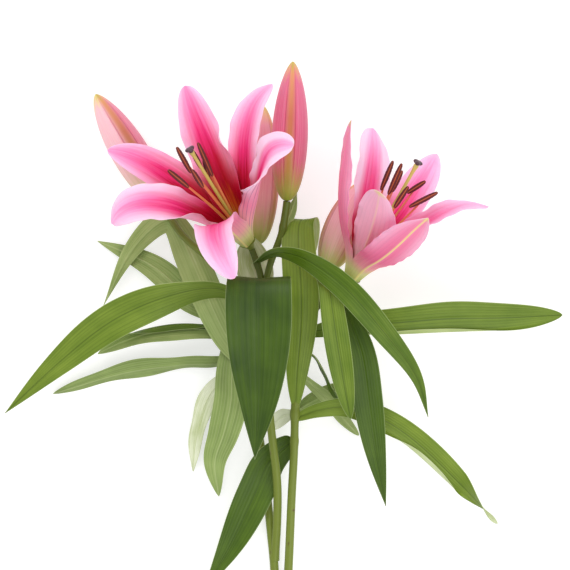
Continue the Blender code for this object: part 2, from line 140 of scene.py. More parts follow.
def curled(u, v, curls):
    # the extra tilt of a turned margin: the outer share of the half width on that side turns by so many degrees
    # over the width of its bend, most at its place along the blade and less away from it by its spread
    tilt = np.zeros((len(u), len(v)))
    for side, place, spread, share, bend, degrees in curls:
        part = np.clip((v * side - (1 - share)) / bend, 0, 1)
        tilt += side * math.radians(degrees) * np.exp(-((u[:, None] - place) / spread) ** 2) * part
    return tilt


def sheetPiece(name, centre, thickness, groove, ridge, values, material, slot, turned):
    # a closed blade: its middle surface moved half its thickness along the normal to either side, less a groove
    # along the upper midrib and plus a ridge along the lower one, with a rim of quads between the two
    rows, columns = centre.shape[:2]
    normal = unit(np.cross(np.gradient(centre, axis=1), np.gradient(centre, axis=0)))
    facing = -1 if turned else 1
    upper = centre + normal * (facing * (thickness / 2 - groove))[..., None]
    lower = centre - normal * (facing * (thickness / 2 + ridge))[..., None]
    points = np.vstack([upper.reshape(-1, 3), lower.reshape(-1, 3)])
    over = points[:, 2] - floorGap
    points[:, 2] = np.where(over < floorReach, floorGap + 0.5 * (over + np.sqrt(over ** 2 + floorSoftness)),
                            points[:, 2])
    count = rows * columns
    ring = np.concatenate([np.arange(columns), np.arange(1, rows) * columns + columns - 1,
                           (rows - 1) * columns + np.arange(columns - 2, -1, -1),
                           np.arange(rows - 2, 0, -1) * columns])
    after = np.roll(ring, -1)
    rim = np.stack([after, ring, ring + count, after + count], axis=-1)
    faces = np.vstack([gridFaces(rows, columns), gridFaces(rows, columns, count, True), rim])
    faces = faces[:, ::-1] if turned else faces
    both = {key: np.tile(np.broadcast_to(value, (rows, columns)).ravel(), 2) for key, value in values.items()}
    both["under"] = np.repeat([0.0, 1.0], count)
    return finishMesh(name + "_blade", points, faces.tolist(), both, material, [name], slot)


def tubeParts(spine, radius, upward=(0, 0, 1)):
    # a closed tube: a ring of points at each step of the spine, radius[step, side] away, and a pole at each end
    rows, sides = radius.shape
    along = unit(np.gradient(spine, axis=0))
    sideways = unit(np.cross(along, upward))
    above = np.cross(sideways, along)
    angle = turnSteps(sides)
    rings = (spine[:, None] + radius[..., None] * (np.cos(angle)[:, None] * above[:, None]
                                                   + np.sin(angle)[:, None] * sideways[:, None]))
    points = np.vstack([rings.reshape(-1, 3), spine[:1], spine[-1:]])
    side = np.arange(sides)
    nextSide = np.roll(side, -1)
    corner = np.arange(rows - 1)[:, None] * sides
    here, beside = corner + side, corner + nextSide
    quads = np.stack([here, here + sides, beside + sides, beside], axis=-1).reshape(-1, 4)
    last = (rows - 1) * sides
    starts = np.stack([side, nextSide, np.full(sides, rows * sides)], axis=-1)
    ends = np.stack([last + nextSide, last + side, np.full(sides, rows * sides + 1)], axis=-1)
    return points, quads.tolist() + starts.tolist() + ends.tolist()


def tubeValues(shape, values):
    # a value for each ring point, then the mean of the end ring at each of the two poles
    full = {key: np.broadcast_to(value, shape) for key, value in values.items()}
    return {key: np.concatenate([value.ravel(), [value[0].mean(), value[-1].mean()]]) for key, value in full.items()}


# materials: one function turns a hex colour to linear, and one adds a node
def colour(text):
    channels = np.array([int(text[place:place + 2], 16) for place in (0, 2, 4)]) / 255
    linear = np.where(channels <= 0.04045, channels / 12.92, ((channels + 0.055) / 1.055) ** 2.4)
    return (*linear, 1.0)


# which inputs are a mix's share and colours, which output is wanted where it isn't the first, and usual settings
inputPlaces = {"Mix": (0, 6, 7)}
mainOutput = {"Mix": 2, "Attribute": 2, "TexCoord": 3}
usualSetting = {"Mix": {"data_type": "RGBA"}, "MapRange": {"interpolation_type": "SMOOTHSTEP"}}


def addNode(tree, kind, *inputs, **settings):
    # adds a node, links or sets its inputs in their order and whatever else is named, and gives its main output
    kind, _, operation = kind.partition(" ")
    node = tree.nodes.new("ShaderNode" + kind)
    if operation:
        node.operation = operation
    ordered = zip(inputPlaces.get(kind, range(len(inputs))), inputs)
    for key, value in [*usualSetting.get(kind, {}).items(), *settings.items(), *ordered]:
        if key == "stops":
            while len(node.color_ramp.elements) < len(value):
                node.color_ramp.elements.new(0.5)
            for element, (place, tint) in zip(node.color_ramp.elements, value):
                element.position = place
                element.color = colour(tint)
        elif isinstance(value, bpy.types.NodeSocket):
            tree.links.new(value, node.inputs[key])
        elif isinstance(key, int) or not hasattr(node, key):
            node.inputs[key].default_value = colour(value) if isinstance(value, str) else value
        else:
            setattr(node, key, value)
    return node.outputs[mainOutput.get(kind, 0)]


def readValues(add, names):
    return [add("Attribute", attribute_name=name) for name in names.split()]


def lengthwiseNoise(add, across, along, seed, cells, **texture):
    # noise drawn out along a piece, with so many cells across it and along it, and another slice for each piece
    place = [add("Math MULTIPLY", value, scale) for value, scale in zip((across, along, seed), (*cells, 31.0))]
    return add("TexNoise", Vector=add("CombineXYZ", *place), Scale=1.0, **texture)


def newMaterial(name):
    # a material, the function that adds a node to it, and its shader
    material = bpy.data.materials.new(name)
    material.use_nodes = True
    return material, partial(addNode, material.node_tree), material.node_tree.nodes["Principled BSDF"]


def dressShader(shader, skin, height, strength, depth, look):
    # links the skin's colour and its relief, and sets the shader's own sockets that the look names
    tree = shader.id_data
    tree.links.new(skin, shader.inputs["Base Color"])
    tree.links.new(addNode(tree, "Bump", Strength=strength, Distance=depth, Height=height), shader.inputs["Normal"])
    for key, value in look.items():
        if key in shader.inputs:
            shader.inputs[key].default_value = value


leafLook = {
    "upper": [(0.0, "284200"), (0.5, "4e6a0c"), (1.0, "7e9430")],
    "under": [(0.0, "4a5a2c"), (0.5, "889d57"), (0.75, "a9b876"), (1.0, "e4e9cc")],
    "veinAbove": "2e4406", "veinBelow": "bcc790", "rim": "bcc890", "veins": 11.0,
    "Roughness": 0.45, "Specular IOR Level": 0.3,
}


def makeLeafMaterial():
    # a lily leaf's skin: a waxy cuticle with parallel veins, dark and glossy above, pale and matt beneath
    material, add, shader = newMaterial("lily leaf cuticle")
    across, along, margin, middle, under, tone = readValues(add, "across along margin middle under tone")
    streak, fine = (lengthwiseNoise(add, across, along, tone, cells, Detail=4.0, Roughness=0.6)
                    for cells in ((4.0, 1.6), (26.0, 2.5)))
    blotch = add("TexNoise", Vector=add("TexCoord"), Scale=45.0, Detail=2.0)
    # veins: even lines across the blade, a little unsteady, that close up with the outline towards both ends; the
    # grain between them is drawn coarser than life
    wander = add("Math MULTIPLY", streak, 1.2)
    wave = add("Math COSINE", add("Math MULTIPLY_ADD", across, leafLook["veins"] * math.pi, wander))
    vein = add("MapRange", wave, 0.2, 1.0)
    mixed = add("Math ADD", add("Math MULTIPLY_ADD", streak, 0.5, -0.25), tone)
    mixed = add("Math ADD", mixed, add("Math MULTIPLY_ADD", fine, 0.3, -0.15))
    mixed = add("Math ADD", mixed, add("Math MULTIPLY_ADD", blotch, 0.4, -0.2), use_clamp=True)
    skin = add("Mix", under, *(add("ValToRGB", mixed, stops=leafLook[face]) for face in ("upper", "under")))
    veinTint = add("Mix", under, leafLook["veinAbove"], leafLook["veinBelow"])
    skin = add("Mix", add("Math MULTIPLY", vein, 0.2), skin, veinTint)
    skin = add("Mix", add("MapRange", middle, 0.9, 0.1, 0.0, 0.4), skin, veinTint)
    skin = add("Mix", add("MapRange", margin, 0.5, 0.05, 0.0, 0.45), skin, leafLook["rim"])
    dressShader(shader, skin, add("Math MULTIPLY_ADD", wave, 0.3, fine), 0.3, 0.0004, leafLook)
    rough = add("Math MULTIPLY_ADD", under, 0.2, leafLook["Roughness"])
    shader.id_data.links.new(rough, shader.inputs["Roughness"])
    return material


tepalLook = {
    "inner": [(0.0, "b4b04a"), (0.1, "cc8a28"), (0.18, "be4416"), (0.25, "a40416"), (0.42, "be0a36"),
              (0.56, "e8327a"), (0.76, "fb7cb4"), (1.0, "fcb4de")],
    "outerPale": [(0.0, "b4be5e"), (0.08, "dedc9c"), (0.17, "f6c4be"), (0.32, "fbacc4"), (0.95, "fdbcd6"),
                  (1.0, "e0d488")],
    "outerRose": [(0.0, "a8b650"), (0.08, "d2cc86"), (0.17, "ec8c9c"), (0.32, "e65c8c"), (0.95, "f284ae"),
                  (1.0, "dccc6c")],
    "pale": "ffd2ea", "rib": "f4e094", "stripe": "ea2c70", "vein": "9a5480", "Roughness": 0.5,
    "Specular IOR Level": 0.15, "Subsurface Weight": 0.25, "Subsurface Radius": (1.0, 0.35, 0.45),
    "Subsurface Scale": 0.002,
}


def makeTepalMaterial():
    # a lily tepal: a soft, faintly glistening skin, crimson in the throat and pale at its margins, veined lengthwise;
    # its grain is drawn coarser than life
    material, add, shader = newMaterial("lily tepal epidermis")
    across, along, middle, under, tone, flush, pale, rose, ribbed, veined = readValues(
        add, "across along middle under tone flush pale rose ribbed veined")
    streak, fine = (lengthwiseNoise(add, across, along, tone, cells, Detail=5.0, Roughness=0.6)
                    for cells in ((7.0, 2.0), (30.0, 3.0)))
    outwards = add("Math ABSOLUTE", across)
    # the throat's colour reaches furthest along the midrib and falls back towards the margins
    reach = add("Math MULTIPLY_ADD", add("Math POWER", outwards, 2.0), 0.16, along)
    shift = add("MapRange", along, 0.1, 0.4, 0.0, flush, interpolation_type="LINEAR")
    reach = add("Math SUBTRACT", reach, shift)
    reach = add("Math ADD", reach, add("Math MULTIPLY_ADD", streak, 0.4, -0.2), use_clamp=True)
    inner = add("ValToRGB", reach, stops=tepalLook["inner"])
    farMask = add("MapRange", along, 0.3, 0.65)
    paleShare = add("Math MULTIPLY", add("MapRange", outwards, 0.2, 1.0), farMask)
    paleShare = add("Math MULTIPLY", paleShare, pale, use_clamp=True)
    inner = add("Mix", paleShare, inner, tepalLook["pale"])
    stripe = add("Math MULTIPLY", add("MapRange", middle, 3.6, 0.0, 0.0, 0.35), add("MapRange", along, 1.0, 0.6))
    inner = add("Mix", add("Math MULTIPLY", stripe, farMask), inner, tepalLook["stripe"])
    outer = add("Mix", rose, *(add("ValToRGB", along, stops=tepalLook[key]) for key in ("outerPale", "outerRose")))
    outer = add("Mix", paleShare, outer, tepalLook["pale"])
    wave = add("Math SINE", add("Math MULTIPLY_ADD", across, 30.0, add("Math MULTIPLY", streak, 9.0)))
    vein = add("Math MULTIPLY", add("MapRange", wave, 0.4, 1.0), veined)
    outer = add("Mix", vein, outer, tepalLook["vein"])
    ribMask = add("Math MULTIPLY", add("MapRange", middle, 1.2, 0.3), ribbed)
    outer = add("Mix", ribMask, outer, tepalLook["rib"])
    skin = add("Mix", under, inner, outer)
    dressShader(shader, skin, add("Math MULTIPLY_ADD", wave, 0.3, fine), 0.4, 0.0005, tepalLook)
    return material


budLook = {
    "skin": [(0.0, "858f30"), (0.07, "a4a044"), (0.17, "b88458"), (0.3, "cc5c76"), (0.5, "d6587e"),
             (0.85, "dc688a"), (0.95, "e49c80"), (1.0, "c4ba54")],
    "paleSkin": [(0.0, "b4ba5e"), (0.1, "d8d494"), (0.25, "f0c8bc"), (0.5, "fbc4cc"), (0.85, "fcc8d0"),
                 (0.94, "f2d49c"), (1.0, "d4ca5c")],
    "rib": [(0.0, "8c9634"), (0.22, "a88236"), (0.6, "be6c42"), (0.9, "dc9460"), (1.0, "bcb444")],
    "groove": "b03c60", "Roughness": 0.45, "Specular IOR Level": 0.3, "Subsurface Weight": 0.15,
    "Subsurface Scale": 0.002,
}


def makeBudMaterial():
    # a closed lily bud: satin skin, pink between green-gold ribs, fading to green at the foot and gold at the tip,
    # with painted shade in its seams
    material, add, shader = newMaterial("lily bud skin")
    rib, seam, along, tone = readValues(add, "rib seam along tone")
    streak, fine = (lengthwiseNoise(add, rib, along, tone, cells, Detail=4.0) for cells in ((6.0, 1.2), (30.0, 2.0)))
    reach = add("Math ADD", along, add("Math MULTIPLY_ADD", streak, 0.2, -0.1), use_clamp=True)
    share = add("Math ADD", add("Math MULTIPLY_ADD", fine, 0.7, -0.35), tone, use_clamp=True)
    skin = add("Mix", share, *(add("ValToRGB", reach, stops=budLook[key]) for key in ("skin", "paleSkin")))
    ribTint = add("ValToRGB", along, stops=budLook["rib"])
    skin = add("Mix", add("MapRange", rib, 0.42, 0.02, 0.0, 0.9), skin, ribTint)
    # painted shade: the seams where the outer tepals meet are tinted a darker pink, as shade in the creases
    skin = add("Mix", add("Math MULTIPLY", seam, 0.5), skin, budLook["groove"])
    dressShader(shader, skin, fine, 0.35, 0.0005, budLook)
    return material


stemLook = {"dark": "485610", "light": "7d8b35", "scar": "5c4a26", "Roughness": 0.42,
            "Specular IOR Level": 0.3}


def makeStemMaterial():
    # a lily stem: smooth waxy skin with fine lengthwise streaks, and brown scars where leaves came off
    material, add, shader = newMaterial("lily stem skin")
    turn, along, scar, tone = readValues(add, "turn along scar tone")
    place = add("CombineXYZ", add("Math MULTIPLY", turn, 9.0), add("Math MULTIPLY", along, 0.03))
    streak = add("TexNoise", Vector=place, Scale=1.0, Detail=4.0)
    mixed = add("Math ADD", tone, add("Math MULTIPLY_ADD", streak, 0.7, -0.35), use_clamp=True)
    skin = add("Mix", mixed, stemLook["dark"], stemLook["light"])
    skin = add("Mix", scar, skin, stemLook["scar"])
    dressShader(shader, skin, streak, 0.25, 0.0003, stemLook)
    return material


def makeFleshMaterial(name, low, high, roughness, grainScale, grainDepth):
    # the small inner organs: a colour that runs from the lower end to the upper one under a fine grain
    material, add, shader = newMaterial(name)
    along, = readValues(add, "along")
    grain = add("TexNoise", Vector=add("TexCoord"), Scale=grainScale, Detail=3.0)
    mixed = add("Math ADD", along, add("Math MULTIPLY_ADD", grain, 0.5, -0.25), use_clamp=True)
    dressShader(shader, add("Mix", mixed, low, high), grain, 0.6, grainDepth, {"Roughness": roughness})
    return material


leafMaterial = makeLeafMaterial()
tepalMaterial = makeTepalMaterial()
budMaterial = makeBudMaterial()
stemMaterial = makeStemMaterial()
filamentMaterial = makeFleshMaterial("lily filament flesh", "cca040", "de6c54", 0.4, 900, 0.0001)
styleMaterial = makeFleshMaterial("lily style flesh", "aaa63e", "c8b460", 0.4, 900, 0.0001)
stigmaMaterial = makeFleshMaterial("lily stigma, sticky", "2c121c", "543240", 0.3, 700, 0.0003)
antherMaterial = makeFleshMaterial("anther with pollen", "58141c", "c4622c", 0.8, 1600, 0.0004)
print("materials made")

# the stem: each branch's route, its radius at the lower and the upper end, and how light its skin is; the lower tones
# of the upper stalks, darkest on the two pedicels under the blooms, are painted shade
branches = {
    "main": ([(-3, -315, 3.6), (-7, -258, 4), (-8, -220, 5), (-11, -189, 5), (-15, -150, 5), (-21, -104, 5),
              (-24, -58, 6), (-24, -12, 8), (-22, 18, 11), (-21, 31, 13)], 3.6, 2.6, 0.7),
    "left": ([(-8, -212, 5), (-6, -180, 12), (-6, -149, 20), (-10, -114, 25), (-14, -72, 29), (-17, -34, 33),
              (-17, -5, 36)], 3.3, 2.9, 0.7),
    "right": ([(-5, -274, 4), (1, -240, 7), (3, -211, 12), (5, -164, 18), (7, -126, 21), (8, -91, 22),
               (11, -61, 26), (15, -30, 31)], 3.4, 2.9, 0.7),
    # painted shade: the pedicels under the blooms are given the darkest tone
    "left_bloom": ([(-17, -8, 36), (-18, 5, 37), (-21, 16, 36), (-25, 27, 35.5)], 2.6, 2.4, 0.1),
    "right_bloom": ([(14, -33, 31), (22, -19, 36), (35, -8, 39), (48, 0.5, 39.2)], 2.6, 2.4, 0.1),
    "bud_a": ([(-17, -9, 36), (-11, 16, 41), (-3, 37, 46), (0, 52, 50), (1.5, 62.5, 52)], 2.4, 2.8, 0.2),
    "bud_b": ([(-17, -12, 36), (-35, 1, 43), (-60, 22, 45), (-77, 37, 36), (-88, 52, 25), (-93.8, 61.7, 21.3)],
              2.4, 2.8, 0.5),
    "bud_d": ([(14, -36, 30), (21, -24, 25), (27, -9, 19), (30, 4, 15), (32, 12, 14)], 2.4, 2.8, 0.4),
}

# the leaves: the branch that carries each one, its half width, where it is widest, how far its margins stand up, the
# face that shows from above, how light that is and how much its margins wave; the route of its midrib from foot to
# tip; the direction across it at even steps, or once where it stays the same; and where a margin turns over: side,
# place, spread, share, bend, degrees
plainLeaf = {"widest": 0.5, "lift": 0.15, "face": "upper", "wave": 0.5, "curls": ()}
leaves = {
    "leaf_sweeping": {
        "branch": "left", "halfWidth": 14.5, "widest": 0.43, "lift": 0.2, "tone": 0.8, "wave": 0.8,
        "route": [(-22, -23, 36), (-47, -3, 47), (-86, -8, 51), (-130, -27, 44), (-173, -60, 26), (-216, -99, 6)],
        "across": [(0, -0.4, -0.9), (0.1, -0.6, -0.7), (0.5, -0.8, -0.2), (0.6, -0.8, 0), (0.6, -0.8, 0)]},
    "leaf_under": {
        "branch": "main", "halfWidth": 12, "lift": 0.3, "face": "under", "tone": 0.5,
        "route": [(-30, -41, 9), (-53, -35, 16), (-84, -34, 19), (-115, -40, 16), (-144, -53, 8)],
        "across": [(0, -0.8, 0.6)],
        "curls": [(-1, 0.5, 0.4, 0.7, 0.2, 165)]},
    "leaf_floor": {
        "branch": "main", "halfWidth": 9, "widest": 0.53, "lift": 0.3, "face": "under", "tone": 0.42, "wave": 0.9,
        "route": [(-30, -54, 8), (-53, -60, 12), (-79, -61, 11), (-126, -68, 6), (-179, -84, 3)],
        "across": [(0, 0.5, 0.9), (0, 0.8, 0.7), (0, 0.8, 0.7)]},
    "leaf_folded": {
        "branch": "left", "halfWidth": 13, "widest": 0.4, "lift": 0.1, "face": "under", "tone": 0.62, "wave": 0.6,
        "route": [(-19, -66, 30), (-40, -45, 38), (-59, -8, 33), (-81, 40, 21), (-94, 49, 17), (-119, 25, 12),
                  (-140, -16, 6)],
        "across": [(0.7, 0.7, 0), (0.8, 0.5, 0.1), (0.7, 0.7, 0.2), (-0.6, 0.8, 0.3), (-0.8, 0.4, 0.3)]},
    "leaf_back": {
        "branch": "main", "halfWidth": 11, "widest": 0.45, "face": "under", "tone": 0.5, "wave": 0.4,
        "route": [(-30, -13, 10), (-48, -20, 14), (-73, -10, 14), (-93, 8, 10), (-112, 20, 5), (-145, 34, 3)],
        "across": [(-0.5, -0.8, 0)]},
    "leaf_narrow": {
        "branch": "main", "halfWidth": 8, "face": "under", "tone": 0.95, "wave": 0.8,
        "route": [(-30, -75, 8), (-45, -73, 14), (-59, -87, 12), (-68, -116, 7), (-71, -144, 3)],
        "across": [(0, -1, 0), (0.8, -0.2, 0.5), (0.8, 0, 0.6)]},
    "leaf_hanging": {
        "branch": "main", "halfWidth": 13, "face": "under", "tone": 0.44, "wave": 0.8,
        "route": [(-28, -28, 9), (-35, -36, 24), (-40, -62, 31), (-41, -88, 28), (-47, -114, 20), (-54, -136, 13),
                  (-51, -163, 5)],
        "across": [(-0.8, 0.5, 0), (-1, 0.2, 0), (-1, 0, 0), (-1, 0, 0)]},
    "leaf_front": {
        "branch": "left", "halfWidth": 24, "widest": 0.42, "lift": 0.1, "tone": 0.17, "wave": 0.4,
        "route": [(-17, -22, 40), (-18, -4, 62), (-18, 5, 84), (-19, -3, 98), (-19, -40, 93), (-19.5, -84, 75),
                  (-22.5, -130, 54)],
        "across": [(1, 0, 0)]},
    "leaf_clasping": {
        "branch": "right", "halfWidth": 13.5, "widest": 0.56, "tone": 0.85,
        "route": [(8, -91, 27), (9, -68, 36), (12, -30, 47), (12, 0, 51), (10, 30, 50), (11, 47, 44),
                  (17, 47, 36), (21, 22, 30)],
        "across": [(1, 0, 0)]},
    "leaf_bract": {
        "branch": "bud_a", "halfWidth": 4, "widest": 0.4, "lift": 0.1, "face": "under", "tone": 0.45, "wave": 0.2,
        "route": [(0, 44, 42), (5, 56, 40), (9, 69, 38)],
        "across": [(1, -0.3, 0)]},
    "leaf_cream": {
        "branch": "left", "halfWidth": 14, "face": "under", "tone": 0.85, "wave": 0.3,
        "route": [(-17, -8, 31), (-21, 6, 27), (-25, 20, 27), (-27, 38, 28)],
        "across": [(1, 0, 0), (1, 0.2, 0)]},
    "leaf_arching": {
        "branch": "left_bloom", "halfWidth": 9.5, "widest": 0.44, "tone": 0.5, "wave": 0.4,
        "route": [(-22, 17, 42), (-7, 24, 62), (15, 19, 76), (44, -2, 84), (73, -35, 76), (97, -67, 62),
                  (107, -99, 50)],
        "across": [(0, 0.2, 1), (0, 0.3, 1), (0.1, 0.7, 0.7), (0.4, 0.7, 0.3), (0.6, 0.7, 0.2), (0.7, 0.6, 0.1),
                   (0.8, 0.5, 0), (0.9, 0.4, 0), (0.9, 0.4, 0)]},
    "leaf_drooping": {
        "branch": "right_bloom", "halfWidth": 9.5, "widest": 0.55, "tone": 0.7,
        "route": [(31, -11, 42), (31, 0, 55), (30, 5, 64), (33, -5, 72), (37, -33, 72), (43, -69, 64),
                  (49, -100, 50)],
        "across": [(1, 0, 0), (1, 0.2, 0)]},
    "leaf_dark": {
        "branch": "right_bloom", "halfWidth": 11.5, "widest": 0.43, "tone": 0.3, "wave": 0.4,
        "route": [(43, -9, 42), (47, -23, 49), (57, -52, 50), (62, -86, 45), (68, -124, 37), (77, -169, 20)],
        "across": [(0.9, 0.3, 0)]},
    "leaf_low_right": {
        "branch": "right", "halfWidth": 10.5, "widest": 0.56, "tone": 0.85, "wave": 0.7,
        "route": [(13, -101, 23), (26, -95, 27), (49, -93, 28), (76, -103, 27), (103, -122, 23), (135, -153, 14),
                  (164, -184, 5)],
        "across": [(0, 1, 0), (0.1, 1, 0), (0.2, 1, 0), (0.5, 0.8, 0.1), (0.7, 0.7, 0.1), (0.7, 0.6, 0.2),
                   (0.7, 0.6, 0.3), (0.2, 0.3, 1), (-0.6, -0.5, 0.6)],
        "curls": [(-1, 0.62, 0.2, 0.4, 0.1, 170)]},
    "leaf_right": {
        "branch": "right", "halfWidth": 14, "widest": 0.55, "tone": 0.75,
        "route": [(18, -37, 32), (45, -31, 37), (83, -28.5, 38), (122, -25.5, 35), (163, -25, 26), (213, -23, 12)],
        "across": [(0, 0.9, 0.3), (0, 1, 0.3)],
        "curls": [(-1, 0.45, 0.35, 0.3, 0.08, 170)]},
    "leaf_edge_on": {
        "branch": "right", "halfWidth": 6, "tone": 0.5, "wave": 0.3,
        "route": [(15, -50, 25), (22, -54, 27), (29, -65, 25), (36, -80, 20), (43, -92, 16)],
        "across": [(0.1, 0.1, 1), (0.1, 0.1, 1), (0.5, 0.3, 0.8)]},
    "leaf_pale": {
        "branch": "right", "halfWidth": 6, "widest": 0.55, "face": "under", "tone": 0.65, "wave": 0.3,
        "route": [(11, -67, 21), (24, -79, 14), (35, -90, 8), (46, -104, 7), (57, -116, 5)],
        "across": [(0.5, 0.5, 0.7), (0.6, 0.6, 0.4)]},
    "leaf_grey": {
        "branch": "right", "halfWidth": 7, "face": "under", "tone": 0.45, "wave": 0.3,
        "route": [(10, -96, 17), (22, -89, 8), (39, -82, 3.5), (59, -78, 2.5)],
        "across": [(0, -1, 0)]},
    "leaf_stub": {
        "branch": "right", "halfWidth": 6, "lift": 0.1, "face": "under", "tone": 1.3, "wave": 0.3,
        "route": [(5, -98, 17), (-2, -101, 13), (-13, -112, 9)],
        "across": [(-0.7, 0.7, 0)]},
    "leaf_low": {
        "branch": "right", "halfWidth": 14, "widest": 0.4, "tone": 0.35,
        "route": [(12, -119, 15), (3, -122, 11), (-13, -137, 11), (-23, -160, 13), (-43, -202, 9), (-64, -238, 4)],
        "across": [(0.6, -0.8, 0), (0.7, -0.7, 0), (0.85, -0.5, 0), (0.85, -0.5, 0)]},
}


def footOnBranch(route, branch):
    # the leaf's foot, sunk three quarters of the way out to the surface of the branch that carries it
    line, lowerRadius, upperRadius, _ = branches[branch]
    centres = smoothRoute(line, 200)
    foot = np.array(route[0], float)
    nearest = int(np.argmin(np.linalg.norm(centres - foot, axis=1)))
    radius = lowerRadius + (upperRadius - lowerRadius) * nearest / (len(centres) - 1)
    return centres[nearest] + unit(foot - centres[nearest]) * radius * 0.75


leafShape = {"rows": 120, "columns": 41, "foot": 3.0, "tip": 0.15, "thickness": 0.5, "groove": 0.35, "ridge": 0.6,
             "power": 0.8, "waveCount": 2.6, "waveHeight": 1.6, "pleat": 0.1, "ribWidth": 0.9}


def gridAcross(columns):
    # steps across a blade from -1 to 1, closer together at the midrib and at both margins
    s = np.linspace(-1, 1, columns)
    return s - 0.11 * np.sin(math.tau * s)


def makeLeaf(name, number):
    # the midrib's route with a section across it that tilts up by the keel, lift * v / sqrt(v^2 + 0.04), and by any
    # rolled margin; the extra rise is the margins' wave and the pleats between the veins
    leaf, shape = {**plainLeaf, **leaves[name]}, leafShape
    u = np.linspace(0, 1, shape["rows"])
    v = gridAcross(shape["columns"])
    spine = smoothRoute([footOnBranch(leaf["route"], leaf["branch"])] + list(leaf["route"][1:]), shape["rows"])
    along = unit(np.gradient(spine, axis=0))
    steps = np.linspace(0, len(leaf["across"]) - 1, shape["rows"])
    sideways = squareTo(along, between(steps, range(len(leaf["across"])), leaf["across"]))
    upward = np.cross(along, sideways)
    width = (leaf["halfWidth"] * spindle(u, leaf["widest"], shape["power"]) + shape["foot"] * (1 - u) ** 6
             + shape["tip"] * u ** 6)
    tilt = np.arctan(leaf["lift"] * v / np.sqrt(v ** 2 + 0.04)) + curled(u, v, leaf["curls"])
    rise = (shape["waveHeight"] * leaf["wave"] * np.abs(v) ** 2.5 * (4 * u * (1 - u))[:, None]
            * np.sin(math.tau * shape["waveCount"] * u[:, None] + 1.7 * number + 1.3 * np.sign(v))
            + shape["pleat"] * np.cos(leafLook["veins"] * math.pi * v) * np.minimum(1, width / 6)[:, None])
    centre = blade(spine, sideways, upward, v, width, tilt, rise)
    middle = np.abs(width[:, None] * v)
    rib = np.exp(-(middle / shape["ribWidth"]) ** 2) * np.clip(width / 5, 0, 1)[:, None] * (1 - u)[:, None] ** 0.5
    thickness = shape["thickness"] * (1 - 0.6 * np.abs(v) ** 4) * np.ones_like(middle)
    values = {"across": v, "along": u[:, None], "margin": width[:, None] * (1 - np.abs(v)), "middle": middle,
              "tone": leaf["tone"]}
    turned = (np.mean(upward[:, 2]) > 0) == (leaf["face"] == "upper")
    sheetPiece(name, centre, thickness, shape["groove"] * rib, shape["ridge"] * rib, values, leafMaterial,
               "leaf green", turned)


for number, name in enumerate(leaves):
    makeLeaf(name, number)
print("leaves made:", len(leaves))

